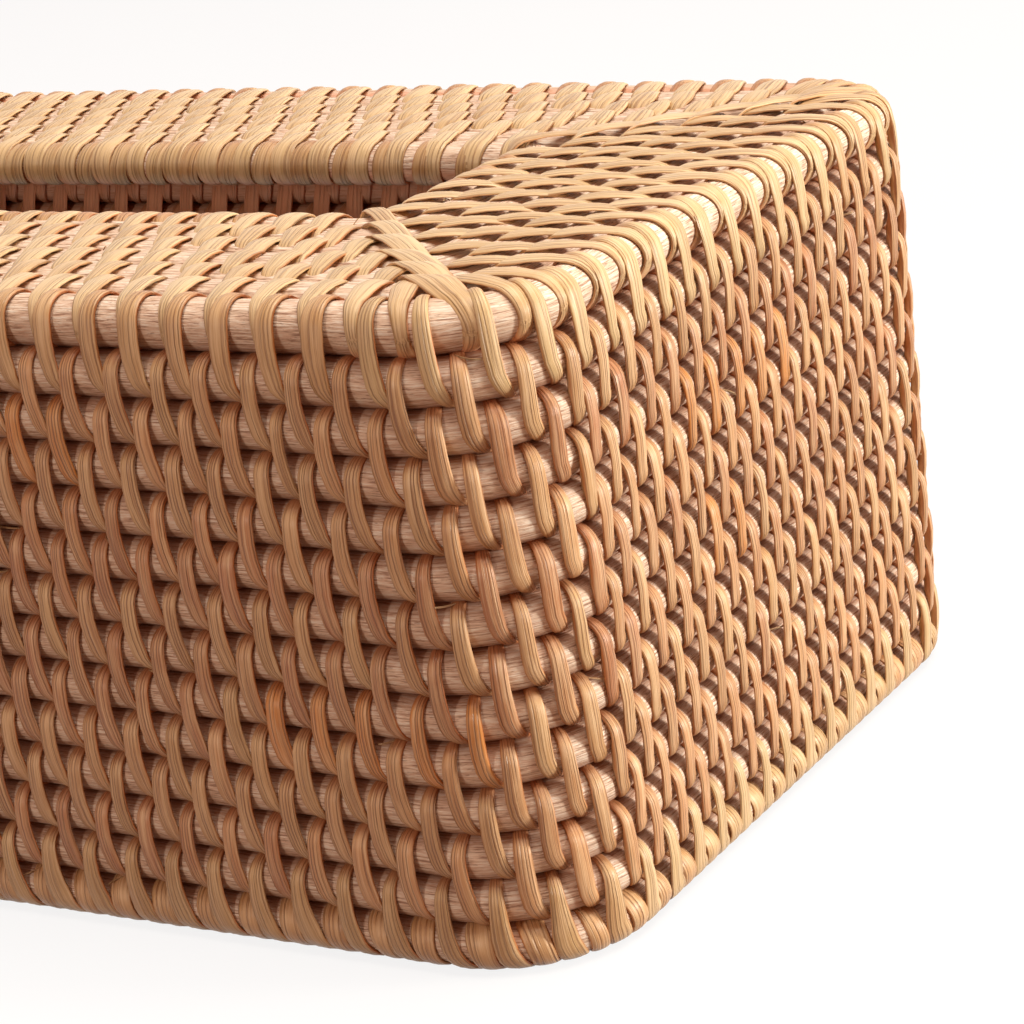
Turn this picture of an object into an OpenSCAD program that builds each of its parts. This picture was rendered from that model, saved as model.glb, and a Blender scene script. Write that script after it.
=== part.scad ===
// Rectangular tissue box cover of coiled rattan.
// Round core rods are bent into closed rings: thirteen under the edge rod make the
// walls, and smaller ones inside it make the top, down to the rod around the slot.
// Strap is wound over two neighbouring rods at a time, so each row holds a pair
// together. Every turn leans, and the turns of the next row stand half a stitch on.
// The cover is open at the bottom and stands on its base rod.

/* [Frame] */
// Length over the centres of the edge rod
frame_l = 250; // [200:1:320]
// Depth over the centres of the edge rod
frame_w = 142; // [120:1:180]
// Corner radius of the wall rods, at their centres
corner_r = 19; // [18:0.5:26]
// How far the wall rods stand out beyond the edge rod
wall_set_out = 1.2; // [0:0.1:1.5]
// How far the top rods lie above the edge rod
top_rise = 0.5; // [0:0.1:1]

/* [Rods] */
// Diameter of the wall and top rods
rod_d = 6; // [5:0.1:6.6]
// Diameter of the thicker edge rod
edge_rod_d = 6.9; // [6:0.1:7.5]
// Rods in a wall, under the edge rod
wall_rods = 13; // [3:1:18]
// Rods in the top, inside the edge rod
top_rods = 6; // [4:1:6]
// Extra gap between the top rods, beyond the gap in the walls
top_ease = 0.3; // [0:0.1:0.6]
// Bend radius of the inner top rods, at their centres
slot_bend_r = 5.5; // [5.5:0.1:6]

/* [Binding] */
// Distance from one turn of strap to the next
stitch = 8; // [7.8:0.1:12]
// Width of the strap
strap_w = 2.3; // [1.2:0.1:2.3]
// Width of the strap where it crosses the mitre of the top
mitre_strap_w = 1.5; // [1:0.1:1.5]
// Gap between the two turns that lie side by side on a rod at the mitre
mitre_gap = 0.25; // [0.2:0.01:0.3]
// Thickness of the strap
strap_t = 0.7; // [0.4:0.05:0.9]
// Thickness of the finishing wrap on the base and slot rods
wrap_t = 0.8; // [0.5:0.05:1]
// Clearance between a strap and its rod
seat = 0.25; // [0.24:0.01:0.4]

/* [Hidden] */
$fn = 64;
rod_r = rod_d / 2;
edge_r = edge_rod_d / 2;
// Corners of the edge rod and of the outermost top rod share one centre
edge_corner_r = corner_r - wall_set_out;
corner_turns = 3;
corner_step = 90 / corner_turns;
// Gaps between rods hold one strap and its clearance on both sides
pitch = rod_d + strap_t + 2 * seat;
edge_pitch = rod_r + edge_r + strap_t + 2 * seat;
top_pitch = pitch + top_ease;
// Heights of the rods' centres over the surface that the cover stands on
base_z = rod_r + seat + wrap_t;
wall_1_z = base_z + (wall_rods - 1) * pitch;
edge_z = wall_1_z + edge_pitch;
top_z = edge_z + top_rise;
// A turn leans by this share of a stitch for each rod that it crosses
lean_share = 1 / 6;
lean = stitch * lean_share;
// The straight runs of a tapered turn lie this much inside the line that touches both round ends
run_dip = 0.01;
// The middle of that gap lies this far along from the mitre, clear of the first row's leaning turn
mitre_aside_share = 0.06;
mitre_aside = stitch * mitre_aside_share;
// The finishing wrap leans less, and starts back from the middle between two turns
wrap_tilt = 8;
wrap_back_share = 0.075;
wrap_back = stitch * wrap_back_share;
ROD = "#d9b998";
STRAP = "#cf9d5c";
WRAP = "#b98550";

// Distance of a top rod inside the edge rod; 0 is the edge rod itself
function top_in(j) = j == 0 ? 0 : edge_pitch + top_ease + (j - 1) * top_pitch;
// Corner radius of a top rod: on the edge rod's centre while that leaves a fair bend
function top_bend(j) = j < 2 ? edge_corner_r - top_in(j) : slot_bend_r;
function top_rod_z(j) = j == 0 ? edge_z : top_z;
function top_rod_r(j) = j == 0 ? edge_r : rod_r;
function wall_z(k) = k == 0 ? edge_z : wall_1_z - (k - 1) * pitch;
function wall_out(k) = k == 0 ? 0 : wall_set_out;
function wall_rod_r(k) = k == 0 ? edge_r : rod_r;
// Even sides are the long ones: front, right, back, left
function side_half_l(s) = s % 2 == 0 ? frame_l / 2 : frame_w / 2;
function side_half_w(s) = s % 2 == 0 ? frame_w / 2 : frame_l / 2;
function side_straight(s) = 2 * (side_half_l(s) - edge_corner_r);
function side_turns(s) = round(side_straight(s) / stitch);
function side_step(s) = side_straight(s) / side_turns(s);
// Place along a side of turn i in a row whose turns are shifted by a share of a stitch
function turn_x(s, i, shift_share) = -side_straight(s) / 2 + (i + shift_share) * side_step(s);
// Neighbouring rows are half a stitch apart, the two rows on the edge rod too
function wall_shift_share(k) = k % 2 == 1 ? 0 : 0.5;
function top_shift_share(j) = j % 2 == 1 ? 0.5 : 0;

// One rod bent into a closed ring
module ring(half_l, half_w, bend, r, z) {
    for (s = [0 : 3]) {
        along = s % 2 == 0 ? half_l : half_w;
        out = s % 2 == 0 ? half_w : half_l;
        rotate([0, 0, 90 * s]) {
            translate([bend - along, -out, z]) rotate([0, 90, 0]) cylinder(r = r, h = 2 * (along - bend));
            translate([along - bend, bend - out, z]) rotate([0, 0, -90])
                rotate_extrude(angle = 90) translate([bend, 0]) circle(r = r);
        }
    }
}

// Outline of a belt laid round two circles, the second one a span away.
// With unlike circles its straight runs end just inside them, to meet the round ends cleanly.
module belt_outline(ra, rb, span) {
    slant = (ra - rb) / span;
    flat = sqrt(1 - slant * slant);
    pa = ra == rb ? ra : ra - run_dip;
    pb = ra == rb ? rb : rb - run_dip;
    circle(r = ra);
    translate([span, 0]) circle(r = rb);
    polygon([[pa * slant, pa * flat], [span + pb * slant, pb * flat],
             [span + pb * slant, -pb * flat], [pa * slant, -pa * flat]]);
}

// One turn of strap round two rods that run along X, with their centres at a and b in Y and Z.
// It is a flat ring, tilted so that it moves by the lean from one rod to the other.
module turn(a, ra, b, rb, sense) {
    tilt = atan(lean / norm(b - a));
    span = norm(b - a) / cos(tilt);
    mid = (a + b) / 2;
    translate([0, mid[0], mid[1]]) rotate([atan2(b[1] - a[1], b[0] - a[0]), 0, 0])
        rotate([0, 0, sense * tilt]) translate([0, -span / 2, 0]) rotate([90, 0, 90])
            linear_extrude(height = strap_w, center = true) difference() {
                belt_outline(ra + seat + strap_t, rb + seat + strap_t, span);
                belt_outline(ra + seat, rb + seat, span);
            }
}

// One turn of wall row k, with the centre of the edge rod's line at Y zero
module wall_turn(k) {
    turn([-wall_out(k - 1), wall_z(k - 1)], wall_rod_r(k - 1), [-wall_out(k), wall_z(k)], rod_r, -1);
}

// Copies of a turn along one side, at all places in its row
module along_side(s, shift_share, back, free) {
    for (i = [0 : side_turns(s) - 1])
        if (abs(turn_x(s, i, shift_share) - back) <= free)
            translate([turn_x(s, i, shift_share) - back, -side_half_w(s), 0]) children();
}

// Copies of a turn around the corner after a side, fanned about the corner's centre
module around_corner(s, shift_share, back) {
    translate([side_straight(s) / 2, edge_corner_r - side_half_w(s), 0])
        for (i = [0 : corner_turns - 1])
            rotate([0, 0, (i + shift_share) * corner_step]) translate([-back, -edge_corner_r, 0]) children();
}

// Wall row k, round the rods k - 1 and k
module wall_binding(k) {
    color(STRAP) for (s = [0 : 3]) rotate([0, 0, 90 * s]) {
        along_side(s, wall_shift_share(k), 0, frame_l) wall_turn(k);
        around_corner(s, wall_shift_share(k), 0) wall_turn(k);
    }
}

// One turn of top row j, with the centre of the edge rod's line at Y zero
module top_turn(j) {
    turn([top_in(j - 1), top_rod_z(j - 1)], top_rod_r(j - 1), [top_in(j), top_z], rod_r, 1);
}

// Top row j, round the rods j - 1 and j, as far as both of them are straight
module top_binding(j) {
    color(STRAP) for (s = [0 : 3]) rotate([0, 0, 90 * s]) {
        along_side(s, top_shift_share(j), 0, top_free(s, j)) top_turn(j);
        if (j == 1)
            around_corner(s, top_shift_share(j), 0) top_turn(j);
        if (j > 1)
            mitre(s) mitre_turn(j - 1, j, strap_t, j);
    }
}

// Half the length along which a turn of top row j finds both rods straight
function top_free(s, j) = j == 1 ? frame_l : side_half_l(s) - top_in(j) - top_bend(j) - strap_w / 2;

// Distance of a top rod's bend from the crossing of the edge rod's centre lines, along the mitre
function mitre_in(j) = (top_in(j) + top_bend(j)) * sqrt(2) - top_bend(j);

// Place of a row's turn beside the mitre: even rows on one side of the gap, odd rows on the other
function mitre_x(row) = mitre_aside + (row % 2 == 0 ? 1 : -1) * (mitre_strap_w + mitre_gap) / 2;

// How far the hollow of a rod's bend has drawn back at the far edge of such a turn
function mitre_bow(j, row) = let (hollow = top_bend(j) - rod_r, far = abs(mitre_x(row)) + mitre_strap_w / 2)
    hollow - sqrt(hollow * hollow - far * far);

// Line of the mitre after a side, running inwards along Y from the crossing
module mitre(s) {
    translate([side_half_l(s), -side_half_w(s), 0]) rotate([0, 0, 45]) children();
}

// One narrow turn laid along the mitre, round the bends of two rods or of one
module mitre_turn(from, to, thick, row) {
    span = mitre_in(to) + mitre_bow(to, row) - mitre_in(from);
    translate([mitre_x(row), mitre_in(from), top_z]) rotate([90, 0, 90])
        linear_extrude(height = mitre_strap_w, center = true) difference() {
            belt_outline(rod_r + seat + thick, rod_r + seat + thick, span);
            belt_outline(rod_r + seat, rod_r + seat, span);
        }
}

// One turn of finishing wrap round a single rod that runs along X
module wrap_turn() {
    rotate([90, 0, 90]) linear_extrude(height = strap_w, center = true) difference() {
        circle(r = rod_r + seat + wrap_t);
        circle(r = rod_r + seat);
    }
}

// Finishing wrap round the base rod, between the ends of the lowest wall row
module base_wrap() {
    shift_share = wall_shift_share(wall_rods + 1);
    color(WRAP) for (s = [0 : 3]) rotate([0, 0, 90 * s]) {
        along_side(s, shift_share, wrap_back, frame_l)
            translate([0, -wall_set_out, base_z]) rotate([0, wrap_tilt, 0]) wrap_turn();
        around_corner(s, shift_share, wrap_back)
            translate([0, -wall_set_out, base_z]) rotate([0, wrap_tilt, 0]) wrap_turn();
    }
}

// Finishing wrap round the slot rod, between the ends of the innermost top row
module slot_wrap() {
    color(WRAP) for (s = [0 : 3]) rotate([0, 0, 90 * s]) {
        along_side(s, top_shift_share(top_rods + 1), -wrap_back, top_free(s, top_rods))
            translate([0, top_in(top_rods), top_z]) rotate([0, 0, wrap_tilt]) wrap_turn();
        mitre(s) mitre_turn(top_rods, top_rods, wrap_t, top_rods + 1);
    }
}

module edge_rod() {
    color(ROD) ring(frame_l / 2, frame_w / 2, edge_corner_r, edge_r, edge_z);
}

module wall_rod(k) {
    color(ROD) ring(frame_l / 2 + wall_set_out, frame_w / 2 + wall_set_out, corner_r, rod_r, wall_z(k));
}

module top_rod(j) {
    color(ROD) ring(frame_l / 2 - top_in(j), frame_w / 2 - top_in(j), top_bend(j), rod_r, top_z);
}

edge_rod();
for (k = [1 : wall_rods - 1]) wall_rod(k);
wall_rod(wall_rods);  // base_rod
for (j = [1 : top_rods - 1]) top_rod(j);
top_rod(top_rods);  // slot_rod
for (k = [1 : wall_rods]) wall_binding(k);
for (j = [1 : top_rods]) top_binding(j);
base_wrap();
slot_wrap();
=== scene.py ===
"""A rectangular tissue box cover of coiled rattan: round rods bound in pairs with strap, row by row."""
from math import cos, pi, radians, sin, sqrt

import bpy
import numpy as np
from mathutils import Matrix, Vector


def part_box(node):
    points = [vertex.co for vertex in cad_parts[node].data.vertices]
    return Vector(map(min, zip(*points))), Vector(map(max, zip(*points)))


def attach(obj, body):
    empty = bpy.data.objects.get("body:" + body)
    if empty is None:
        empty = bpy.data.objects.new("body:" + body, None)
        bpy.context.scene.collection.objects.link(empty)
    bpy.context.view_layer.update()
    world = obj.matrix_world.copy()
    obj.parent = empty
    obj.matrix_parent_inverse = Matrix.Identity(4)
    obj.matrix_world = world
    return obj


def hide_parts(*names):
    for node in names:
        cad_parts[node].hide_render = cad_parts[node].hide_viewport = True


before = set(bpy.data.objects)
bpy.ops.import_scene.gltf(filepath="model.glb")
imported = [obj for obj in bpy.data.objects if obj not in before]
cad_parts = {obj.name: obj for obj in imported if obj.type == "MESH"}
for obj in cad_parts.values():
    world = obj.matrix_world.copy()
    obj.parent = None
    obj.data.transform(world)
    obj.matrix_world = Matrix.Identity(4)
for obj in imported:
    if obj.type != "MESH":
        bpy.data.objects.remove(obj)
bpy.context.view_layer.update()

# Lengths are in millimetres up to the mesh itself, which is in metres.
MM = 0.001
# Seeds of the wall rows, the top rows, the wraps and the rods; a row or rod adds its number, and a top rod
# adds this much more
WALL_SEED, TOP_SEED, WRAP_SEED, ROD_SEED = 7, 107, 216, 307
TOP_ROD_SEED = 20

# How many rods a wall has under the edge rod and the top has inside it, and the bend radii of the edge rod
# and of the inner top rods
WALL_RODS = 13
TOP_RODS = 6
EDGE_BEND = 17.8
INNER_BEND = 5.5
# Turns of strap along a long side, a short side and round a corner, and how far into it the first one stands
LONG_TURNS = 27
SHORT_TURNS = 13
CORNER_TURNS = 4
CORNER_LAG = radians(2.5)
# Where the turns of the top's outer row stand round a corner, beside the one along the mitre
TOP_CORNER = (radians(10), radians(57), radians(76))

# The strap's thickness and width, and the width of the finishing wraps
STRAP_T = 0.64
STRAP_W = 2.45
WRAP_W = 4.0
# How much a rod's radius is larger than the CAD's, which lies clear of the strap, and the gap that is left
ROD_SWELL = 0.28
SEAT = 0.03
# How far a turn bows out between its two rods, and how deep its back reaches there round a corner
BOW = 0.28
KEEL = 1.1
# How far the rods of the walls and of the top swell towards their neighbours, how far the top's are squared
# beside that, and how much of the walls' shade their grooves have
TOUCH = 0.42
TOP_TOUCH = 0.55
TOP_SQUARE = 1.0
TOP_GROOVE = 0.12

# Fineness of the meshes: steps round a quarter of a rod and from rod to rod, a rod's sides, the distance
# between its rings, and the fewest rings in a bend
ARC_STEPS = 6
RUN_STEPS = 3
ROD_SIDES = 24
ROD_STEP = 1.6
BEND_STEPS = 6


# The frame's sizes, read from the CAD nodes

def node_size(name):
    """Half length, half width, height of the centre line and radius of a ring of rod."""
    low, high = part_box(name)
    r = (high.z - low.z) / 2 / MM
    return high.x / MM - r, high.y / MM - r, (high.z + low.z) / 2 / MM, r


EDGE_L, EDGE_W = node_size("edge_rod")[:2]
WALL_NODES = ["edge_rod"] + [f"wall_rod_{k}" for k in range(1, WALL_RODS)] + ["base_rod"]
TOP_NODES = ["edge_rod"] + [f"top_rod_{j}" for j in range(1, TOP_RODS)] + ["slot_rod"]
WALL = [node_size(name) for name in WALL_NODES]
TOP = [node_size(name) for name in TOP_NODES]
STRAIGHT = [EDGE_L - EDGE_BEND, EDGE_W - EDGE_BEND] * 2
SIDE_OUT = [EDGE_W, EDGE_L] * 2
TURNS = [LONG_TURNS, SHORT_TURNS] * 2


def top_in(j):
    """Distance of a top rod inwards from the edge rod."""
    return EDGE_L - TOP[j][0]


def top_bend(j):
    """Bend radius of a top rod: the outermost one shares the edge rod's centre, and the inner ones don't."""
    return EDGE_BEND - top_in(j) if j < 2 else INNER_BEND


def mitre_in(j):
    """Distance of a top rod's bend from the crossing of the edge rod's centre lines, along the mitre."""
    return (top_in(j) + top_bend(j)) * sqrt(2) - top_bend(j)


# Places on the rings

def turned(x, y, quarter):
    """A point of one side's own plan, turned to where that side is."""
    c, s = cos(pi / 2 * quarter), sin(pi / 2 * quarter)
    return x * c - y * s, x * s + y * c


def on_side(side, t, x, out):
    """Plan of points x along and out from place t of a side; past its ends they follow the corners."""
    half, r = STRAIGHT[side], EDGE_BEND + out
    u = t + x
    phi = np.where(u > half, (u - half) / r, np.where(u < -half, (u + half) / r, 0.0))
    over = np.clip(np.abs(phi) - pi / 2, 0, None) * r
    phi = np.clip(phi, -pi / 2, pi / 2)
    px = np.clip(u, -half, half) + r * np.sin(phi)
    py = EDGE_BEND - SIDE_OUT[side] - r * np.cos(phi) + over
    return turned(px, py, side)


def on_corner(side, angle, x, out):
    """The same from an angle round the corner after a side."""
    r = EDGE_BEND + out
    return on_side(side, STRAIGHT[side], angle * r + x, out)


def on_mitre(side, x, out):
    """Plan of points beside the mitre after a side; out is measured from the crossing, x along the ring."""
    bend, end = INNER_BEND, INNER_BEND * sin(pi / 4)
    near = np.minimum(np.abs(x), end)
    bow = bend - np.sqrt(bend * bend - near * near) + np.clip(np.abs(x) - end, 0, None)
    m = bow - out
    px = STRAIGHT[side] + EDGE_BEND + (x - m) / sqrt(2)
    py = -SIDE_OUT[side] + (x + m) / sqrt(2)
    return turned(px, py, side)


# One turn of strap round two rods, as a path in the section across them

def arc(centre, r, e1, e2, start, stop, steps):
    """Points and normals round a rod's centre; e2 is at angle 0 and e1 at a quarter turn."""
    angle = start + (stop - start) * np.arange(steps) / steps
    normals = np.outer(np.cos(angle), e2) + np.outer(np.sin(angle), e1)
    return centre + normals * r, normals


def run(start, stop, normal):
    """Points and normals from rod to rod, which bow outwards a little between them."""
    f = (np.arange(RUN_STEPS) / RUN_STEPS)[:, None]
    points = start + (stop - start) * f + normal * BOW * np.sin(pi * f)
    return points, np.repeat(normal[None], RUN_STEPS, 0)


def turn_section(a, ra, b, rb):
    """Points across the rods (out, height), their normals, and how far round the turn each is: from 0
    in the gap before rod a, over its outer side at 1 and rod b's at 2, to 3 in the gap after b, and back
    behind b at 4 and a at 5."""
    a, b = np.array(a), np.array(b)
    e1 = (b - a) / np.linalg.norm(b - a)
    e2 = np.array([-e1[1], e1[0]])
    if e2.sum() < 0:
        e2 = -e2
    ra, rb = ra + ROD_SWELL + SEAT, rb + ROD_SWELL + SEAT
    quarter = pi / 2
    parts = [arc(a, ra, e1, e2, -quarter, 0, ARC_STEPS), run(a + e2 * ra, b + e2 * rb, e2),
             arc(b, rb, e1, e2, 0, quarter, ARC_STEPS), arc(b, rb, e1, e2, quarter, pi, ARC_STEPS),
             run(b - e2 * rb, a - e2 * ra, -e2), arc(a, ra, e1, e2, pi, 3 * quarter, ARC_STEPS)]
    phase = np.concatenate([i + np.arange(len(p)) / len(p) for i, (p, _) in enumerate(parts)])
    return np.concatenate([p for p, _ in parts]), np.concatenate([n for _, n in parts]), phase


def loop_section(centre, r):
    """The same for a turn round a single rod."""
    steps = 4 * ARC_STEPS
    e1, e2 = np.array([0.0, -1.0]), np.array([1.0, 0.0])
    points, normals = arc(np.array(centre), r + ROD_SWELL + SEAT, e1, e2, -pi / 2, 3 * pi / 2, steps)
    return points, normals, 6 * np.arange(steps) / steps


def smooth(phase, keys):
    """Values at each phase of a turn, on a smooth closed curve through six keys."""
    keys = np.array(keys, float)
    i = np.floor(phase).astype(int)
    f = phase - i
    p0, p1, p2, p3 = (keys[(i + k) % 6] for k in (-1, 0, 1, 2))
    return p1 + 0.5 * f * (p2 - p0 + f * (2 * p0 - 5 * p1 + 4 * p2 - p3 + f * (3 * (p1 - p2) + p3 - p0)))


def bow_at(phase):
    """1 halfway between the rods on the outer side, 0 at the rods and everywhere else."""
    return np.where((phase > 1) & (phase < 2), np.sin(pi * (phase - 1)), 0.0)


# Where a turn of a wall lies along the rods at the six places of its phase, how wide it is in widths of
# strap (in a row, the first row, round a corner and in the base row), and how high it lies
WALL_X = (-0.7, -0.9, -0.3, 2.0, 1.4, 0.0)
WALL_W = (0.95, 1.12, 1.12, 0.45, 1.35, 1.35)
FIRST_W = (1.1, 1.35, 1.2, 0.45, 1.35, 1.35)
CORNER_W = (0.8, 1.05, 1.12, 0.75, 0.8, 0.8)
BASE_W = (0.8, 1.1, 1.6, 1.55, 1.5, 1.2)
WALL_LIFT = (0.1, 0.36, 0.0, 0.0, 0.0, 0.0)
# The part of STRAP_TONES that the strap takes: in a wall, in its last and first rows, on the top, and in the
# slot's wrap
WALL_TONES = (0.2, 1.0)
BASE_TONES = (0.08, 0.4)
FIRST_TONES = (0.04, 0.28)
TOP_TONES = 0.2
SLOT_TONES = (0.06, 0.3)
# How much of the crevices' shade shows at these places of a turn
TUCK_AT = (0.0, 0.3, 0.65, 2.35, 2.8, 3.2, 4.0, 5.2, 6.0)
TUCK = (1.0, 0.8, 0.0, 0.0, 0.7, 1.0, 0.0, 0.0, 1.0)
FIRST_TUCK = (0.4, 0.0, 0.0, 0.0, 0.7, 1.0, 0.0, 0.0, 0.8)
END_TUCK = (1.0, 0.8, 0.0, 0.0, 0.0, 0.0, 0.0, 0.0, 1.0)
TOP_TUCK = (0.12, 0.08, 0.0, 0.0, 0.05, 0.15, 0.0, 0.0, 0.12)
WRAP_TUCK = (0.5, 0.2, 0.0, 0.0, 0.0, 0.0, 0.0, 0.0, 0.5)
# How much of the painted light inside the cover shows on the strap, at these places of a turn: a paler,
# redder colour that stands in for the warm light bounced about in there
INNER_AT = (0.0, 3.2, 3.8, 5.2, 5.8)
INNER = (0.0, 0.0, 1.0, 1.0, 0.0)
NOT_INNER = (0.0,) * len(INNER)
# Cross-section of the strap: across, in half widths, and up, in thicknesses; and its point on the crown
SECTION = ((-0.9, 0.0), (0.9, 0.0), (1.0, 0.3), (0.9, 0.66), (0.62, 0.88), (0.22, 1.0),
           (-0.22, 1.0), (-0.62, 0.88), (-0.9, 0.66), (-1.0, 0.3))
CROWN = 5
# How much narrower the keel is than the strap
KEEL_NARROW = 0.5


def ribbon(section, xs, widths, place, lift, keel):
    """Vertices of one closed turn of strap: path samples by cross-section points, in millimetres."""
    points, normals, phase = section
    path = np.column_stack([xs, points])
    up = np.column_stack([np.zeros(len(xs)), normals])
    path = path + up * np.reshape(lift, (-1, 1))
    along = np.roll(path, -1, 0) - np.roll(path, 1, 0)
    along /= np.linalg.norm(along, axis=1)[:, None]
    across = np.cross(up, along)
    across /= np.linalg.norm(across, axis=1)[:, None]
    across *= np.sign(across[:, :1]) + (across[:, :1] == 0)
    shape = np.array(SECTION)
    # Round a corner the strap's back is deeper between the rods, so that nothing shows through beside it
    deep = (shape[None, :, 1] == 0) * bow_at(phase)[:, None]
    height = shape[None, :, 1] * STRAP_T - keel * deep
    aside = shape[:, 0] * (1 - KEEL_NARROW * deep) * widths[:, None] / 2
    flat = path[:, None] + across[:, None] * aside[:, :, None]
    flat = flat + up[:, None] * height[:, :, None]
    px, py = place(flat[..., 0], flat[..., 1])
    return np.stack([px, py, flat[..., 2]], -1)


class Strap:
    """Turns of strap gathered into one mesh, with values for the material at each point: the turn's tone,
    how far along and across the strap the point is, how much crevice shade and painted inside light it has,
    and a key."""

    def __init__(self, tuck, inner=INNER):
        self.rings, self.shade, self.inside = [], tuck, inner
        self.values = {name: [] for name in ("tone", "long", "cross", "tuck", "inner", "key")}

    def add(self, ring, phase, tone, start):
        """One turn from its vertices, path samples by section points; its grain begins at start."""
        samples, sides = ring.shape[:2]
        self.rings.append(ring)
        crown = ring[:, CROWN]
        length = np.linalg.norm(np.diff(crown, axis=0, append=crown[:1]), axis=1)
        far = np.concatenate([[0], np.cumsum(length)[:-1]])
        self.values["tone"].append(np.full(samples * sides, tone))
        self.values["long"].append(np.repeat(start + far, sides))
        self.values["cross"].append(np.tile(np.array(SECTION)[:, 0], samples))
        self.values["tuck"].append(np.repeat(np.interp(phase, TUCK_AT, self.shade), sides))
        self.values["inner"].append(np.repeat(np.interp(phase, INNER_AT, self.inside), sides))
        self.values["key"].append(np.full(samples * sides, len(self.rings)))

    def build(self, name, material):
        """The mesh piece of all turns, each a closed tube."""
        coords, faces, base = [], [], 0
        for ring in self.rings:
            samples, sides = ring.shape[:2]
            i, j = np.meshgrid(np.arange(samples), np.arange(sides), indexing="ij")
            i2, j2 = (i + 1) % samples, (j + 1) % sides
            quads = np.stack([i * sides + j, i * sides + j2, i2 * sides + j2, i2 * sides + j], -1)
            faces.append(quads.reshape(-1, 4) + base)
            coords.append(ring.reshape(-1, 3))
            base += samples * sides
        values = {key: np.concatenate(parts) for key, parts in self.values.items()}
        return make_mesh(name, np.concatenate(coords), np.concatenate(faces), values, material)


def make_mesh(name, coords, faces, values, material):
    """A mesh piece from points in millimetres and quads, with a number for each point under each name."""
    mesh = bpy.data.meshes.new(name)
    mesh.vertices.add(len(coords))
    mesh.vertices.foreach_set("co", (coords * MM).ravel())
    mesh.loops.add(faces.size)
    mesh.loops.foreach_set("vertex_index", faces.ravel().astype(np.int32))
    mesh.polygons.add(len(faces))
    mesh.polygons.foreach_set("loop_start", np.arange(0, faces.size, 4, dtype=np.int32))
    mesh.update(calc_edges=True)
    mesh.polygons.foreach_set("use_smooth", np.ones(len(faces), bool))
    for key, data in values.items():
        layer = mesh.attributes.new(key, "FLOAT", "POINT")
        layer.data.foreach_set("value", np.asarray(data, np.float32))
    mesh.materials.append(material)
    mesh.validate()
    piece = bpy.data.objects.new(name, mesh)
    bpy.context.scene.collection.objects.link(piece)
    return piece


# The rows

def row_places(row_shift):
    """The turns of one row: (side, place along it) on the straights, (side, angle) round the corners."""
    places = []
    for side in range(4):
        step = 2 * STRAIGHT[side] / TURNS[side]
        for i in range(TURNS[side]):
            places.append((side, -STRAIGHT[side] + (i + row_shift) * step, None))
        for i in range(CORNER_TURNS):
            places.append((side, None, CORNER_LAG + (i + row_shift) * pi / 2 / CORNER_TURNS))
    return places


def place_of(side, t, angle, shift):
    """The function from (x, out) to plan points for a turn, which is moved on by shift."""
    if angle is None:
        return lambda x, out: on_side(side, t + shift, x, out)
    return lambda x, out: on_corner(side, angle, x + shift, out)


# Turns that one length of strap makes, the tones that it can have, and their drift
LENGTH_TURNS = (12, 34)
LENGTH_TONES = 0.95
TONE_DRIFT = 0.03
# One turn in so many begins a short run of dark or orange ones
ODD_EVERY = 45
ODD_TURNS = (2, 6)
ODD_TONES = (0.85, 1.0)


def tones_along(rng, count):
    """One tone a turn: each length of strap keeps its own for many turns, with a little drift."""
    tones = np.empty(count)
    at = 0
    while at < count:
        length = int(rng.integers(*LENGTH_TURNS))
        tones[at:at + length] = rng.random() * LENGTH_TONES
        at += length
    tones += rng.normal(0, TONE_DRIFT, count)
    for start in rng.integers(0, count, count // ODD_EVERY):
        tones[start:start + int(rng.integers(*ODD_TURNS))] = rng.choice(ODD_TONES)
    return np.clip(tones, 0, 1)


# How much a turn wavers in place, and in shares of its width and lift; at each key and as a whole
KEY_PLACE, TURN_PLACE = 0.1, 0.2
KEY_WIDTH, TURN_WIDTH = 0.04, 0.06
TURN_LIFT = 0.15
# The grain of a turn begins somewhere in this length
GRAIN_LENGTH = 500


def add_turn(strap, rng, section, keys, place, tone, keel=0.0):
    """One turn from its keys for place along the rods, width and height, with a small waver of its own."""
    phase = section[2]
    xs, widths, lifts = (np.array(k, float) for k in keys)
    xs = smooth(phase, xs + rng.normal(0, KEY_PLACE, 6)) + rng.normal(0, TURN_PLACE)
    widths = smooth(phase, widths * rng.normal(1, KEY_WIDTH, 6) * STRAP_W * rng.normal(1, TURN_WIDTH))
    lifts = np.maximum(smooth(phase, lifts * rng.normal(1, TURN_LIFT)), 0)
    strap.add(ribbon(section, xs, widths, place, lifts, keel), phase, tone, rng.random() * GRAIN_LENGTH)


# The loose fibres of a row: how many, their radius and steps, length, bend along the rods, slant across them
# as a share of the length, rise, how deep they begin and how much of an arch they make
HAIRS = 4
HAIR_R = 0.08
HAIR_STEPS = 16
HAIR_LENGTH = (3, 8)
HAIR_BEND = (-0.5, 0.5)
HAIR_SLANT = 0.4
HAIR_RISE = (0.4, 1.2)
HAIR_ROOT = 1.6
HAIR_ARCH = 0.6
# They come out this far on from a turn, and are coloured as a turn is at this place
HAIR_SHIFT = 3
HAIR_PHASE = 1.5


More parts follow.
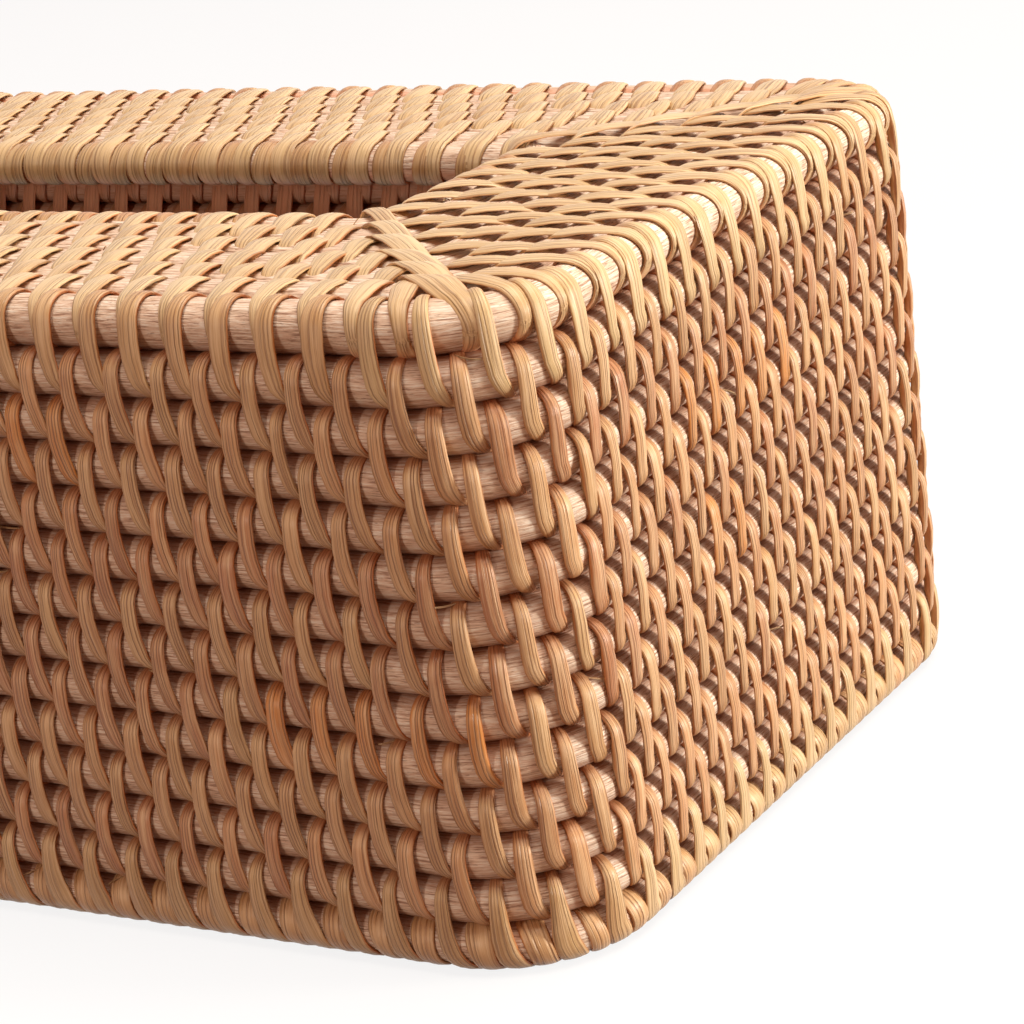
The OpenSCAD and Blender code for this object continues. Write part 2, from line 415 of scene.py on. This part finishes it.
def add_hairs(strap, rng, places, out, height, up):
    """A few fine fibres that stand out of a row's gap, each a thin loop that runs out and back."""
    turn = 2 * pi * np.arange(HAIR_STEPS) / HAIR_STEPS
    angle = 2 * pi * np.arange(len(SECTION)) / len(SECTION)
    far = (1 - np.cos(turn)) / 2
    phase = np.full(HAIR_STEPS, HAIR_PHASE)
    for n in rng.integers(0, len(places), HAIRS):
        length, bend, rise = rng.uniform(*HAIR_LENGTH), rng.uniform(*HAIR_BEND), rng.uniform(*HAIR_RISE)
        x = length * (rng.choice((-1, 1)) * (1 - abs(bend)) * far + bend * far ** 2)
        across = length * HAIR_SLANT * rng.uniform(-1, 1) * far + HAIR_R * np.sin(turn)
        above = (rise + HAIR_ROOT) * np.sin(pi * HAIR_ARCH * far) - HAIR_ROOT
        outs, heights = (across, above) if up else (above, across)
        outs = out + outs[:, None] + HAIR_R * np.cos(angle)
        heights = height + heights[:, None] + HAIR_R * np.sin(angle)
        px, py = places[n](x[:, None] + 0 * outs, outs)
        strap.add(np.stack([px, py, heights], -1), phase, 0.0, rng.random() * GRAIN_LENGTH)


def wall_row(k, material):
    """The row of turns round wall rods k - 1 and k, counted from the edge rod down."""
    rng = np.random.default_rng(WALL_SEED + k)
    first, last = k == 1, k == WALL_RODS
    (length_a, _, height_a, ra), (length_b, _, height_b, rb) = WALL[k - 1], WALL[k]
    section = turn_section((length_a - EDGE_L, height_a), ra, (length_b - EDGE_L, height_b), rb)
    places = row_places(0 if k % 2 else 0.5)
    low, high = FIRST_TONES if first else BASE_TONES if last else WALL_TONES
    tones = low + (high - low) * tones_along(rng, len(places))
    strap = Strap(END_TUCK if last else FIRST_TUCK if first else TUCK)
    for (side, t, angle), tone in zip(places, tones):
        widths = BASE_W if last else CORNER_W if angle is not None else FIRST_W if first else WALL_W
        keel = 0 if angle is None else KEEL
        place = place_of(side, t, angle, 0)
        add_turn(strap, rng, section, (WALL_X, widths, WALL_LIFT), place, tone, keel)
    between = [place_of(*at, HAIR_SHIFT) for at in places]
    add_hairs(strap, rng, between, length_b - EDGE_L + rb, (height_a + height_b) / 2, False)
    return strap.build(f"strap_wall_{k}", material)


# The same for the top, where a turn's phase runs from the outer rod inwards, and for its row at the slot
TOP_X = (2.0, 0.9, -0.9, -0.6, 0.2, 1.3)
TOP_W = (0.9, 1.35, 1.95, 1.25, 1.35, 1.35)
TOP_LIFT = (0.0, 0.0, 0.16, 0.0, 0.0, 0.0)
SLOT_W = (0.9, 1.35, 1.85, 1.7, 1.5, 1.2)
# The strap along the mitre: its middle at each row, how far its inner end bends aside, and its inner tip
RIDGE_MIDDLE = (-3.1, -2.6, -1.9, -1.4, -0.5, 0.3, 0.4)
RIDGE_ASIDE = (0.0, 1.5, 1.9, 2.1, 2.0, 1.3, 0.3)
RIDGE_TIP = (-1.7, -6.0, -6.4, -6.2, -5.2, -3.7, -1.6)
RIDGE_W = (1.35, 1.95, 2.1, 1.0, 0.9, 0.9)
RIDGE_SIZE = (1.0, 1.1, 1.0, 0.95, 0.9, 0.85, 0.75)
RIDGE_LIFT = (0.0, 0.0, 0.7, 0.2, 0.0, 0.0)
# How far back from its middle it passes behind the inner rod
RIDGE_BEHIND = 1
# How far from the crossing of a rod's centre lines the nearest turns are, after and before the mitre
FIRST_TURN = 5.1
LAST_TURN = 7.6
# Turns up to this far beyond those places are kept and moved in, and this many at each end share the move
EASE_REACH = 4
EASE_TURNS = 5
# Tones that a top row has beyond its straight turns' own, for the mitres
MORE_TONES = 7


def eased(spots, first, last):
    """Turn places with the ones near both ends moved a little, so that they begin and end in place."""
    spots = np.array([t for t in spots if first - EASE_REACH < t < last + EASE_REACH])
    low, high = first - spots[0], last - spots[-1]
    share = np.clip(1 - np.arange(len(spots)) / EASE_TURNS, 0, 1)
    return spots + low * share + high * share[::-1]


def top_spots(j, row_shift):
    """The turns of a top row on its straights: all of them for the outer row, else between the mitres."""
    spots = []
    for side in range(4):
        step = 2 * STRAIGHT[side] / TURNS[side]
        grid = [-STRAIGHT[side] + (i + row_shift) * step for i in range(TURNS[side])]
        if j > 1:
            reach = STRAIGHT[side] + EDGE_BEND - top_in(j)
            grid = eased(grid, FIRST_TURN - reach, reach - LAST_TURN)
        spots += [(side, t) for t in grid]
    return spots


def top_row(j, material):
    """The row of turns round top rods j - 1 and j, counted from the edge rod inwards, with its mitres."""
    rng = np.random.default_rng(TOP_SEED + j)
    a, b = (TOP[j - 1][2], TOP[j - 1][3]), (TOP[j][2], TOP[j][3])
    section = turn_section((-top_in(j - 1), a[0]), a[1], (-top_in(j), b[0]), b[1])
    ridge = turn_section((-mitre_in(j - 1), a[0]), a[1], (-mitre_in(j), b[0]), b[1])
    spots = top_spots(j, 0.5 if j % 2 else 0)
    tones = tones_along(rng, len(spots) + MORE_TONES) * TOP_TONES
    strap = Strap(END_TUCK if j == TOP_RODS else TOP_TUCK)
    keys = (TOP_X, SLOT_W if j == TOP_RODS else TOP_W, TOP_LIFT)
    for (side, t), tone in zip(spots, tones):
        add_turn(strap, rng, section, keys, place_of(side, t, None, 0), tone)
    middle = RIDGE_MIDDLE[j]
    ridge_x = (RIDGE_TIP[0] if j == 1 else RIDGE_MIDDLE[j - 1], RIDGE_MIDDLE[j - 1], middle - RIDGE_ASIDE[j],
               RIDGE_TIP[j], middle - RIDGE_BEHIND, middle)
    widths = [w * RIDGE_SIZE[j] for w in RIDGE_W]
    for side in range(4):
        tone = tones[len(spots) + side]
        place = lambda x, out: on_mitre(side, x, out)
        add_turn(strap, rng, ridge, (ridge_x, widths, RIDGE_LIFT), place, tone)
        for angle in TOP_CORNER if j == 1 else ():
            add_turn(strap, rng, section, keys, place_of(side, None, angle, 0), tone)
    gap = (top_in(j - 1) + top_in(j)) / 2
    between = [place_of(side, t, None, HAIR_SHIFT) for side, t in spots]
    add_hairs(strap, rng, between, -gap, TOP[j][2] + TOP[j][3], True)
    return strap.build(f"strap_top_{j}", material)


# Where a turn of a finishing wrap lies at the six places of its phase, and how far off the middle of its gap
WRAP_X = (-1.2, -0.6, 0.2, 0.8, 0.0, -0.8)
BASE_SHIFT, SLOT_SHIFT = 0.3, -0.3


def finishing_wrap(name, section, spots, share, material):
    """Turns round a single rod, between the ends of the last row."""
    rng = np.random.default_rng(WRAP_SEED)
    low, high = share
    tones = low + (high - low) * tones_along(rng, len(spots))
    widths = (WRAP_W / STRAP_W,) * 6
    strap = Strap(WRAP_TUCK, NOT_INNER)
    for place, tone in zip(spots, tones):
        add_turn(strap, rng, section, (WRAP_X, widths, (0,) * 6), place, tone)
    return strap.build(name, material)


def base_wrap(material):
    """The wrap of the rod that the cover stands on."""
    section = loop_section((WALL[-1][0] - EDGE_L, WALL[-1][2]), WALL[-1][3])
    spots = [place_of(*at, BASE_SHIFT) for at in row_places(0.5 if WALL_RODS % 2 else 0)]
    return finishing_wrap("wrap_base", section, spots, BASE_TONES, material)


def slot_wrap(material):
    """The wrap of the rod around the slot."""
    section = loop_section((-top_in(TOP_RODS), TOP[-1][2]), TOP[-1][3])
    spots = [place_of(side, t, None, SLOT_SHIFT) for side, t in top_spots(TOP_RODS, 0.5)]
    return finishing_wrap("wrap_slot", section, spots, SLOT_TONES, material)


# The rods

def ring_line(half_l, half_w, bend, step):
    """Plan points, outward normals and lengths along a closed ring of rod."""
    points, normals, marks = [], [], []
    at = 0.0
    for side in range(4):
        along, out = (half_l, half_w) if side % 2 == 0 else (half_w, half_l)
        straight = 2 * (along - bend)
        count = int(straight / step)
        for i in range(count):
            t = -along + bend + straight * i / count
            points.append(turned(t, -out, side))
            normals.append(turned(0, -1, side))
            marks.append(at + straight * i / count)
        at += straight
        turns = max(BEND_STEPS, int(bend * pi / 2 / step))
        for i in range(turns):
            phi = pi / 2 * i / turns
            points.append(turned(along - bend + bend * sin(phi), bend - out - bend * cos(phi), side))
            normals.append(turned(sin(phi), -cos(phi), side))
            marks.append(at + bend * phi)
        at += bend * pi / 2
    return np.array(points), np.array(normals), np.array(marks), at


# How a rod's thickness and path waver, in waves of these counts round the ring, and how its sides are ridged
ROD_WAVER, WAVER_WAVES = 0.05, range(9, 60, 7)
ROD_SWAY, SWAY_WAVES = 0.04, range(8, 40, 5)
ROD_RIDGES, ROD_RIDGE_HEIGHT = 5, 0.008
# The share of the waver that the radius takes, and how far the rod stays under the strap
WAVER_SHARE = 0.5
ROD_UNDER = 0.03
# Waves begin somewhere in this angle
WAVE_START = 6
# How sharply a groove ends beside the line where two rods touch
GROOVE_SHARP = 3


def rod_ring(name, size, bend, material, seed, grooves, inside, touch, square, dark):
    """A ring of rod whose thickness and path waver a little, as cane's do; grooves are the angles in its
    section, from outwards round by up, where it faces other rods and swells towards them by touch, and beside
    them by square. Dark is how much painted shade it has there, and inside is where it faces the inside,
    where it takes the painted inside light."""
    half_l, half_w, z, r = size
    rng = np.random.default_rng(ROD_SEED + seed)
    points, normals, marks, whole = ring_line(half_l, half_w, bend, ROD_STEP)
    turn = 2 * pi * marks / whole

    def waves(size, counts):
        return sum(rng.normal(0, size) * np.sin(turn * n + rng.random() * WAVE_START) for n in counts)

    waver = waves(ROD_WAVER, WAVER_WAVES)
    sway = waves(ROD_SWAY, SWAY_WAVES)
    angle = 2 * pi * np.arange(ROD_SIDES) / ROD_SIDES
    ridges = 1 + ROD_RIDGE_HEIGHT * np.sin(angle * ROD_RIDGES + rng.random() * WAVE_START)
    radius = (r + ROD_SWELL - ROD_UNDER + waver[:, None] * WAVER_SHARE) * ridges[None, :]
    facing = [np.clip(np.cos(angle - at), 0, 1) for at in grooves]
    groove = np.clip(sum(f ** GROOVE_SHARP for f in facing), 0, 1)
    beside = np.clip(sum(facing), 0, 1) * np.abs(np.sin(2 * angle))
    radius = radius + touch * groove + square * beside
    out = radius * np.cos(angle)[None, :] + sway[:, None]
    up = radius * np.sin(angle)[None, :]
    px, py = points[:, :1] + normals[:, :1] * out, points[:, 1:] + normals[:, 1:] * out
    coords = np.stack([px, py, z + up], -1)
    count = len(points)
    i, k = np.meshgrid(np.arange(count), np.arange(ROD_SIDES), indexing="ij")
    i2, k2 = (i + 1) % count, (k + 1) % ROD_SIDES
    quads = np.stack([i * ROD_SIDES + k, i2 * ROD_SIDES + k, i2 * ROD_SIDES + k2, i * ROD_SIDES + k2], -1)
    # Painted light: how far each side faces the inside of the cover, where it takes the paler, redder inside
    # colour
    inner = np.clip(np.cos(angle - inside) * 2, 0, 1)
    values = {"long": np.repeat(marks, ROD_SIDES), "up": np.tile(np.sin(angle) * r, count),
              "side": np.tile(np.cos(angle) * r, count), "key": np.full(count * ROD_SIDES, seed),
              "groove": np.tile(groove * dark, count), "inner": np.tile(inner, count)}
    return make_mesh(name, coords.reshape(-1, 3), quads.reshape(-1, 4), values, material)


# Materials

class Nodes:
    """A short way to write a material's nodes: each method adds a node and gives its output."""

    def __init__(self, name):
        self.material = bpy.data.materials.new(name)
        self.material.use_nodes = True
        self.tree = self.material.node_tree
        self.shader = self.tree.nodes["Principled BSDF"]

    def put(self, value, socket):
        """Link an output to a socket, or set the socket to a plain value."""
        if isinstance(value, bpy.types.NodeSocket):
            self.tree.links.new(value, socket)
        elif value is not None:
            socket.default_value = value

    def add(self, kind, inputs=(), **settings):
        node = self.tree.nodes.new(kind)
        for key, value in settings.items():
            setattr(node, key, value)
        for key, value in dict(inputs).items():
            self.put(value, node.inputs[key])
        return node

    def attribute(self, name):
        return self.add("ShaderNodeAttribute", attribute_name=name).outputs["Fac"]

    def math(self, operation, a, b=None):
        node = self.add("ShaderNodeMath", operation=operation)
        self.put(a, node.inputs[0])
        self.put(b, node.inputs[1])
        return node.outputs[0]

    def times(self, a, b):
        """The product of two values."""
        return self.math("MULTIPLY", a, b)

    def plus(self, a, b):
        """The sum of two values."""
        return self.math("ADD", a, b)

    def vector(self, x, y, z):
        return self.add("ShaderNodeCombineXYZ", {"X": x, "Y": y, "Z": z}).outputs[0]

    def noise(self, vector, detail=2.0, roughness=0.5):
        node = self.add("ShaderNodeTexNoise", {"Vector": vector, "Scale": 1.0, "Detail": detail,
                                               "Roughness": roughness})
        return node.outputs["Fac"]

    def ramp(self, value, stops):
        node = self.add("ShaderNodeValToRGB", {"Fac": value})
        points = node.color_ramp.elements
        while len(points) < len(stops):
            points.new(0.5)
        for point, (at, colour) in zip(points, stops):
            point.position = at
            point.color = (*colour, 1)
        return node.outputs["Color"]

    def fade(self, value, low, high):
        """0 at low and 1 at high, which may lie below it."""
        node = self.add("ShaderNodeMapRange", {"Value": value, "From Min": low, "From Max": high})
        return node.outputs["Result"]

    def mix(self, factor, a, b):
        node = self.add("ShaderNodeMix", data_type="RGBA")
        self.put(factor, node.inputs["Factor"])
        self.put((*a, 1) if isinstance(a, tuple) else a, node.inputs["A"])
        self.put((*b, 1) if isinstance(b, tuple) else b, node.inputs["B"])
        return node.outputs["Result"]

    def finish(self, colour, roughness, height, depth, **plain):
        """Join the colour, the roughness and a relief of this depth in metres to the shader."""
        bump = self.add("ShaderNodeBump", {"Height": height, "Distance": depth, "Strength": 1.0})
        self.put(colour, self.shader.inputs["Base Color"])
        self.put(roughness, self.shader.inputs["Roughness"])
        self.put(bump.outputs["Normal"], self.shader.inputs["Normal"])
        for key, value in plain.items():
            self.shader.inputs[key.replace("_", " ")].default_value = value
        return self.material


# The strap's colour by its tone, then the painted light on its inner side, pale fibres, edges, shade in
# crevices and dark lines
STRAP_TONES = ((0.0, (0.71, 0.50, 0.26)), (0.12, (0.65, 0.44, 0.21)), (0.22, (0.57, 0.34, 0.145)),
               (0.4, (0.63, 0.32, 0.14)), (0.55, (0.50, 0.22, 0.09)), (0.7, (0.60, 0.36, 0.16)),
               (0.85, (0.46, 0.18, 0.07)), (0.96, (0.62, 0.30, 0.12)), (1.0, (0.62, 0.24, 0.05)))
# Painted light: the paler, redder colour of sides that face the inside of the cover, for the warm light
# bounced about in there
PAINTED_INSIDE_LIGHT = (0.98, 0.45, 0.26)
STRAP_PALE = (0.80, 0.57, 0.34)
STRAP_EDGE = (0.46, 0.14, 0.03)
STRAP_TUCK = (0.42, 0.13, 0.05)
STRAP_LINE = (0.30, 0.12, 0.045)
# The rods' two ground colours, their pale and dark fibres, and the shade where they touch
ROD_PALE = (0.84, 0.635, 0.47)
ROD_PINK = (0.72, 0.48, 0.34)
ROD_CREAM = (0.92, 0.80, 0.67)
ROD_DARK = (0.26, 0.11, 0.06)
ROD_GROOVE = (0.25, 0.08, 0.03)
# Depths of the relief, in metres
STRAP_RELIEF = 0.00014
ROD_RELIEF = 0.00022
# Strands side by side in half the strap's width, and how much they wander
STRANDS = 2.5
STRAND_WANDER = 1.6


def strap_material():
    """Peeled cane: strands with dark lines between them, fine fibres, blotches, and darker edges, with
    painted shade in crevices and painted light on its inner side.
    """
    n = Nodes("strap")
    tone, far, cross = n.attribute("tone"), n.attribute("long"), n.attribute("cross")
    tuck, key = n.attribute("tuck"), n.attribute("key")
    seed = n.times(key, 3.7)
    # Dark lines between the strands, which wander across the strap and come and go along it
    wobble = n.noise(n.vector(n.times(far, 0.03), n.times(cross, 1.6), seed))
    strand = n.plus(n.times(cross, STRANDS), n.times(wobble, STRAND_WANDER))
    beside = n.math("ABSOLUTE", n.math("SUBTRACT", n.math("FRACT", n.plus(strand, seed)), 0.5))
    lasting = n.noise(n.vector(n.times(far, 0.05), n.times(cross, 2.3), seed), 1.0)
    lines = n.times(n.fade(beside, 0.19, 0.07), n.fade(lasting, 0.4, 0.52))
    # Fine fibres, and broad blotches of a paler colour
    fine = n.noise(n.vector(n.times(far, 0.05), n.times(cross, 7.5), seed), 2.0, 0.65)
    blotch = n.noise(n.vector(n.times(far, 0.16), cross, seed))
    base = n.ramp(tone, STRAP_TONES)
    base = n.mix(n.times(n.fade(blotch, 0.4, 0.75), 0.5), base, STRAP_PALE)
    base = n.mix(n.times(n.fade(fine, 0.5, 0.68), 0.6), base, STRAP_LINE)
    base = n.mix(n.times(n.fade(fine, 0.46, 0.34), 0.55), base, STRAP_PALE)
    # The lines are fainter in the pale tones
    depth = n.plus(n.times(n.fade(tone, 0.15, 0.5), 0.42), 0.34)
    base = n.mix(n.times(lines, depth), base, STRAP_LINE)
    # Orange edges: the right one here and there, the left one thin
    edged = n.noise(n.vector(n.times(far, 0.03), 0.0, seed), 1.0)
    right = n.times(n.fade(cross, 0.84, 0.98), n.fade(edged, 0.38, 0.56))
    left = n.times(n.fade(cross, -0.92, -1.0), 0.6)
    base = n.mix(n.plus(right, left), base, STRAP_EDGE)
    # Painted light on the sides that face the inside of the cover
    base = n.mix(n.times(n.attribute("inner"), 0.8), base, PAINTED_INSIDE_LIGHT)
    base = n.mix(n.times(tuck, 0.85), base, STRAP_TUCK)
    height = n.plus(n.times(lines, -1.0), n.times(fine, -0.8))
    rough = n.plus(n.times(blotch, 0.4), 0.22)
    return n.finish(base, rough, height, STRAP_RELIEF, Specular_IOR_Level=0.45, Coat_Weight=0.08,
                    Coat_Roughness=0.3)


def rod_material():
    """Rattan core: a mottled ground with long pale and dark fibres and small dark pits, with painted light on
    its inner side and painted shade in its grooves.
    """
    n = Nodes("rod")
    far, up, side, key = n.attribute("long"), n.attribute("up"), n.attribute("side"), n.attribute("key")
    place = n.plus(far, n.times(key, 5.3))
    fibre = n.noise(n.vector(n.times(place, 0.22), n.times(up, 3.8), n.times(side, 3.8)), 3.0, 0.7)
    cloud = n.noise(n.vector(n.times(place, 0.1), up, side))
    pits = n.noise(n.vector(n.times(place, 0.6), n.times(up, 3.2), n.times(side, 3.2)), 3.0, 0.6)
    base = n.mix(n.fade(cloud, 0.3, 0.7), ROD_PALE, ROD_PINK)
    base = n.mix(n.times(n.fade(fibre, 0.53, 0.63), 0.75), base, ROD_DARK)
    base = n.mix(n.times(n.fade(fibre, 0.49, 0.41), 0.95), base, ROD_CREAM)
    base = n.mix(n.times(n.fade(pits, 0.62, 0.72), 0.7), base, ROD_DARK)
    # Painted light where a rod faces the inside of the cover, then painted shade in its grooves
    base = n.mix(n.times(n.attribute("inner"), 0.6), base, PAINTED_INSIDE_LIGHT)
    base = n.mix(n.times(n.attribute("groove"), 0.9), base, ROD_GROOVE)
    height = n.plus(n.times(fibre, -1.0), n.times(pits, -0.5))
    return n.finish(base, 0.6, height, ROD_RELIEF, Specular_IOR_Level=0.35)


# The stage, the lights and the camera

# The floor's two whites to the camera, the warm brown that it sends light back with, and how much of the
# camera's white is its own glow; the rest takes the cover's shadow. Sizes are in metres from here on.
FLOOR_PALE = (1.0, 1.0, 1.0)
FLOOR_OFF = (0.97, 0.97, 0.97)
FLOOR_BACK = (0.18, 0.105, 0.068)
FLOOR_WHITE = 0.85
FLOOR_SIZE = 8.0
# The colour and strength of the world as light
WORLD_SOFT = (1, 0.40, 0.24)
WORLD_STRENGTH = 0.28
# The lamps: name, place, diameter, power and colour; all are aimed at the middle of the cover
LAMPS = (("key", (1.46, 0.52, 0.22), 0.44, 27, (1, 0.99, 0.9)),
         ("above", (0.45, 0.1, 1.45), 1.2, 25.5, (1, 0.99, 0.9)),
         ("front", (-0.1, -1.5, 0.49), 0.22, 5.2, (1, 0.90, 0.78)))
LAMP_AIM = (0, 0, 0.05)
# The camera's place in millimetres, its angles in degrees, and its lens
CAMERA_PLACE = (344.73, -424.42, 205.86)
CAMERA_AZIMUTH, CAMERA_DOWN, CAMERA_ROLL = 31.88, 17.84, -7.23
CAMERA_LENS = 110.51
CAMERA_SENSOR = 36
CAMERA_CLIP = 0.01


def seen(tree):
    """Whether a ray comes from the camera, or from a reflection or glass."""
    path = tree.nodes.new("ShaderNodeLightPath")
    kinds = [path.outputs[f"Is {kind} Ray"] for kind in ("Camera", "Glossy", "Transmission")]
    either = kinds[0]
    for other in kinds[1:]:
        node = tree.nodes.new("ShaderNodeMath")
        node.operation = "MAXIMUM"
        tree.links.new(either, node.inputs[0])
        tree.links.new(other, node.inputs[1])
        either = node.outputs[0]
    return either


def add_floor():
    """A pale floor that is nearly white to the camera, with the cover's shadow, and sends warm light back."""
    bpy.ops.mesh.primitive_plane_add(size=FLOOR_SIZE, location=(0, 0, 0))
    floor = bpy.context.object
    floor.name = "floor"
    n = Nodes("floor")
    grain = n.noise(n.add("ShaderNodeTexCoord").outputs["Object"])
    shown = seen(n.tree)
    n.put(n.mix(shown, FLOOR_BACK, n.mix(grain, FLOOR_PALE, FLOOR_OFF)), n.shader.inputs["Base Color"])
    n.shader.inputs["Roughness"].default_value = 1.0
    n.shader.inputs["Specular IOR Level"].default_value = 0.0
    white = n.add("ShaderNodeEmission", {"Color": (1, 1, 1, 1), "Strength": 1.0})
    mix = n.add("ShaderNodeMixShader", {"Fac": n.times(shown, FLOOR_WHITE)})
    n.put(n.shader.outputs[0], mix.inputs[1])
    n.put(white.outputs[0], mix.inputs[2])
    n.put(mix.outputs[0], n.tree.nodes["Material Output"].inputs["Surface"])
    floor.data.materials.append(n.material)


def add_lamp(name, place, size, power, colour):
    """A round lamp aimed at the middle of the cover."""
    light = bpy.data.lights.new(name, "AREA")
    light.shape = "DISK"
    light.size = size
    light.energy = power
    light.color = colour
    lamp = bpy.data.objects.new(name, light)
    away = Vector(place) - Vector(LAMP_AIM)
    lamp.matrix_world = Matrix.Translation(place) @ away.to_track_quat("Z", "Y").to_matrix().to_4x4()
    bpy.context.scene.collection.objects.link(lamp)


def add_world():
    """A white world to the camera and in reflections, and a dimmer warm one as light."""
    world = bpy.data.worlds.new("studio")
    bpy.context.scene.world = world
    world.use_nodes = True
    tree = world.node_tree
    tree.nodes.clear()
    soft = tree.nodes.new("ShaderNodeBackground")
    soft.inputs["Color"].default_value = (*WORLD_SOFT, 1)
    soft.inputs["Strength"].default_value = WORLD_STRENGTH
    white = tree.nodes.new("ShaderNodeBackground")
    white.inputs["Color"].default_value = (1, 1, 1, 1)
    white.inputs["Strength"].default_value = 1.0
    mix = tree.nodes.new("ShaderNodeMixShader")
    tree.links.new(seen(tree), mix.inputs["Fac"])
    tree.links.new(soft.outputs[0], mix.inputs[1])
    tree.links.new(white.outputs[0], mix.inputs[2])
    out = tree.nodes.new("ShaderNodeOutputWorld")
    tree.links.new(mix.outputs[0], out.inputs["Surface"])


def add_camera():
    """The photograph's camera."""
    data = bpy.data.cameras.new("camera")
    data.lens = CAMERA_LENS
    data.sensor_width = CAMERA_SENSOR
    data.sensor_fit = "HORIZONTAL"
    data.clip_start = CAMERA_CLIP
    camera = bpy.data.objects.new("camera", data)
    place = Matrix.Translation([v * MM for v in CAMERA_PLACE])
    turn = Matrix.Rotation(radians(CAMERA_AZIMUTH), 4, "Z")
    tilt = Matrix.Rotation(radians(90 - CAMERA_DOWN), 4, "X")
    roll = Matrix.Rotation(radians(CAMERA_ROLL), 4, "Z")
    camera.matrix_world = place @ (turn @ tilt) @ roll
    bpy.context.scene.collection.objects.link(camera)
    bpy.context.scene.camera = camera


def finish_piece(piece, node):
    """Tie a piece to its body, and hide the CAD node that it replaces."""
    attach(piece, "root")
    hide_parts(node)


def build():
    """Every piece of the cover. Angles in a rod's section run from outwards round by up."""
    strap, rod = strap_material(), rod_material()
    outwards, up, down, inwards = 0, pi / 2, -pi / 2, pi
    for k, node in enumerate(WALL_NODES):
        bend = EDGE_BEND if k == 0 else EDGE_BEND + WALL[k][0] - EDGE_L
        grooves = (down, inwards) if k == 0 else (up,) if k == WALL_RODS else (up, down)
        ring = rod_ring("cane_" + node, WALL[k], bend, rod, k, grooves, inwards, TOUCH, 0, 1)
        finish_piece(ring, node)
    for j in range(1, TOP_RODS + 1):
        node = TOP_NODES[j]
        grooves = (outwards,) if j == TOP_RODS else (outwards, inwards)
        ring = rod_ring("cane_" + node, TOP[j], top_bend(j), rod, TOP_ROD_SEED + j, grooves, down,
                        TOP_TOUCH, TOP_SQUARE, TOP_GROOVE)
        finish_piece(ring, node)
    for k in range(1, WALL_RODS + 1):
        finish_piece(wall_row(k, strap), f"wall_binding_{k}")
    for j in range(1, TOP_RODS + 1):
        finish_piece(top_row(j, strap), f"top_binding_{j}")
    finish_piece(base_wrap(strap), "base_wrap")
    finish_piece(slot_wrap(strap), "slot_wrap")


build()
add_floor()
add_world()
for lamp in LAMPS:
    add_lamp(*lamp)
add_camera()
bpy.context.scene.view_settings.view_transform = "Standard"
